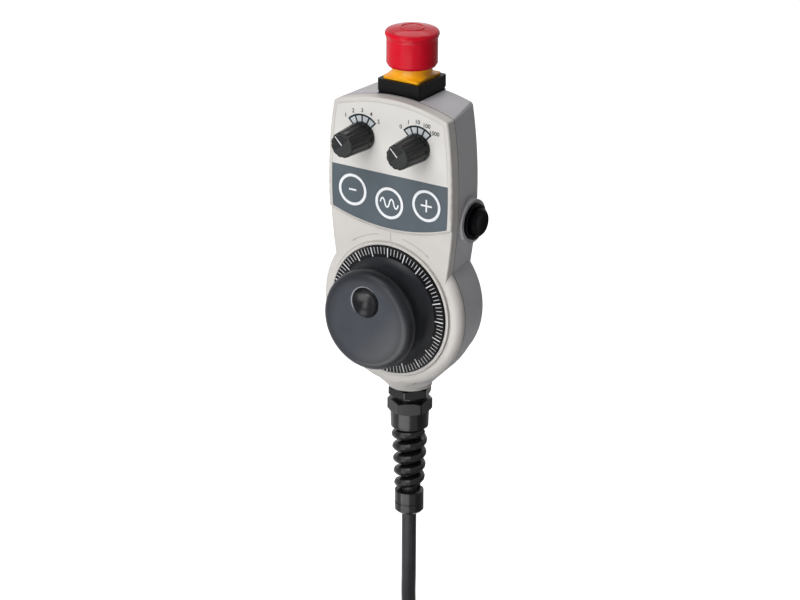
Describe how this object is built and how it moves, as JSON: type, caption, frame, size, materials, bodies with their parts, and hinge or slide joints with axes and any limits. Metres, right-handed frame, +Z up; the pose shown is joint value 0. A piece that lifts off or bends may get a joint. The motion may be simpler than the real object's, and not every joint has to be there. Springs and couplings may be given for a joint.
{
  "type": "pulse generator handwheel",
  "caption": "Hand-held machine pendant with a handwheel and dial, selector knobs, keys, an emergency stop, enabling buttons and a coiled cable.",
  "frame": {"origin": "on the handwheel axis, in the plane of the holding magnets' faces at the rear", "axes": "+Y out of the rear face, -Y towards the operator, +Z up towards the emergency stop, +X to the right seen from the front"},
  "size_m": [0.1699, 0.1575, 0.4251],
  "materials": {
    "shell_front": "fine-textured light warm grey moulding",
    "shell_rear": "fine-textured light warm grey moulding",
    "foil_light": "satin printed polyester foil",
    "foil_dark": "satin slate grey polyester foil",
    "wheel_black": "soft-touch black",
    "dial_black": "satin black anodised scale",
    "knob_black": "matte black",
    "mark_white": "white filled line",
    "stop_red": "satin-gloss signal red",
    "stop_yellow": "satin signal yellow",
    "base_black": "satin black",
    "button_black": "satin-gloss black",
    "switch_grey": "dark grey moulded switch housing",
    "board_green": "solder-resist coated laminate",
    "gland_black": "satin black polyamide",
    "rubber_black": "matte rubber",
    "cable_black": "satin polyurethane cable sheath",
    "steel": "turned steel",
    "zinc": "bright nickel-plated"
  },
  "bodies": {
    "housing": {"rear_shell": "shell_rear", "front_shell": "shell_front", "housing_seal": "rubber_black", "panel_foil": "foil_light", "key_band": "foil_dark", "keypad_board": "board_green", "encoder_body": "switch_grey", "encoder_nut": "steel", "axis_switch": "switch_grey", "axis_nut": "steel", "step_switch": "switch_grey", "step_nut": "steel", "stop_gasket": "rubber_black", "stop_base": "base_black", "stop_collar": "stop_yellow", "stop_nut": "switch_grey", "stop_contacts": "switch_grey", "enable_right_collar": "button_black", "enable_right_switch": "switch_grey", "enable_left_collar": "button_black", "enable_left_switch": "switch_grey", "main_board": "board_green", "gland_locknut": "gland_black", "gland_seal": "rubber_black", "gland_body": "gland_black", "gland_insert": "rubber_black", "gland_nut": "gland_black", "bend_relief": "gland_black", "cable_core": "cable_black", "cable_lead": "cable_black", "cable_coil": "cable_black", "cable_tail": "cable_black", "coil_tie": "gland_black", "plug_body": "zinc", "plug_ring": "zinc", "plug_insert": "switch_grey", "housing_screw_1": "steel", "housing_screw_2": "steel", "housing_screw_3": "steel", "housing_screw_4": "steel", "magnet_1": "steel", "magnet_2": "steel", "magnet_3": "steel"},
    "handwheel": {"handwheel_knob": "wheel_black", "scale_dial": "dial_black", "handwheel_shaft": "steel"},
    "axis_selector": {"axis_knob": "knob_black", "axis_mark": "mark_white", "axis_shaft": "steel"},
    "step_selector": {"step_knob": "knob_black", "step_mark": "mark_white", "step_shaft": "steel"},
    "stop_plunger_body": {"stop_plunger": "switch_grey"},
    "stop_cap_body": {"stop_cap": "stop_red"},
    "minus_key": {"key_minus": "foil_dark"},
    "rapid_key": {"key_rapid": "foil_dark"},
    "plus_key": {"key_plus": "foil_dark"},
    "enable_right": {"enable_right_cap": "button_black"},
    "enable_left": {"enable_left_cap": "button_black"}
  },
  "joints": [
    {"name": "handwheel_turn", "type": "hinge", "parent": "housing", "child": "handwheel", "pos_m": [0, 0, 0], "axis": [0, 1, 0], "continuous": true},
    {"name": "axis_selector_turn", "type": "hinge", "parent": "housing", "child": "axis_selector", "pos_m": [-0.01945, 0, 0.1059], "axis": [0, 1, 0], "range_deg": [0, 90]},
    {"name": "step_selector_turn", "type": "hinge", "parent": "housing", "child": "step_selector", "pos_m": [0.01945, 0, 0.1059], "axis": [0, 1, 0], "range_deg": [0, 90]},
    {"name": "stop_press", "type": "slide", "parent": "housing", "child": "stop_plunger_body", "axis": [0, 0, -1], "range_m": [0, 0.004]},
    {"name": "stop_twist", "type": "hinge", "parent": "stop_plunger_body", "child": "stop_cap_body", "pos_m": [0, -0.017, 0.16], "axis": [0, 0, -1], "range_deg": [0, 40], "stiffness_Nm_per_rad": 0.05},
    {"name": "minus_press", "type": "slide", "parent": "housing", "child": "minus_key", "axis": [0, 1, 0], "range_m": [0, 0.0005], "stiffness_N_per_m": 3000},
    {"name": "rapid_press", "type": "slide", "parent": "housing", "child": "rapid_key", "axis": [0, 1, 0], "range_m": [0, 0.0005], "stiffness_N_per_m": 3000},
    {"name": "plus_press", "type": "slide", "parent": "housing", "child": "plus_key", "axis": [0, 1, 0], "range_m": [0, 0.0005], "stiffness_N_per_m": 3000},
    {"name": "enable_right_press", "type": "slide", "parent": "housing", "child": "enable_right", "axis": [-1, 0, 0], "range_m": [0, 0.004], "stiffness_N_per_m": 1000},
    {"name": "enable_left_press", "type": "slide", "parent": "housing", "child": "enable_left", "axis": [1, 0, 0], "range_m": [0, 0.004], "stiffness_N_per_m": 1000}
  ]
}
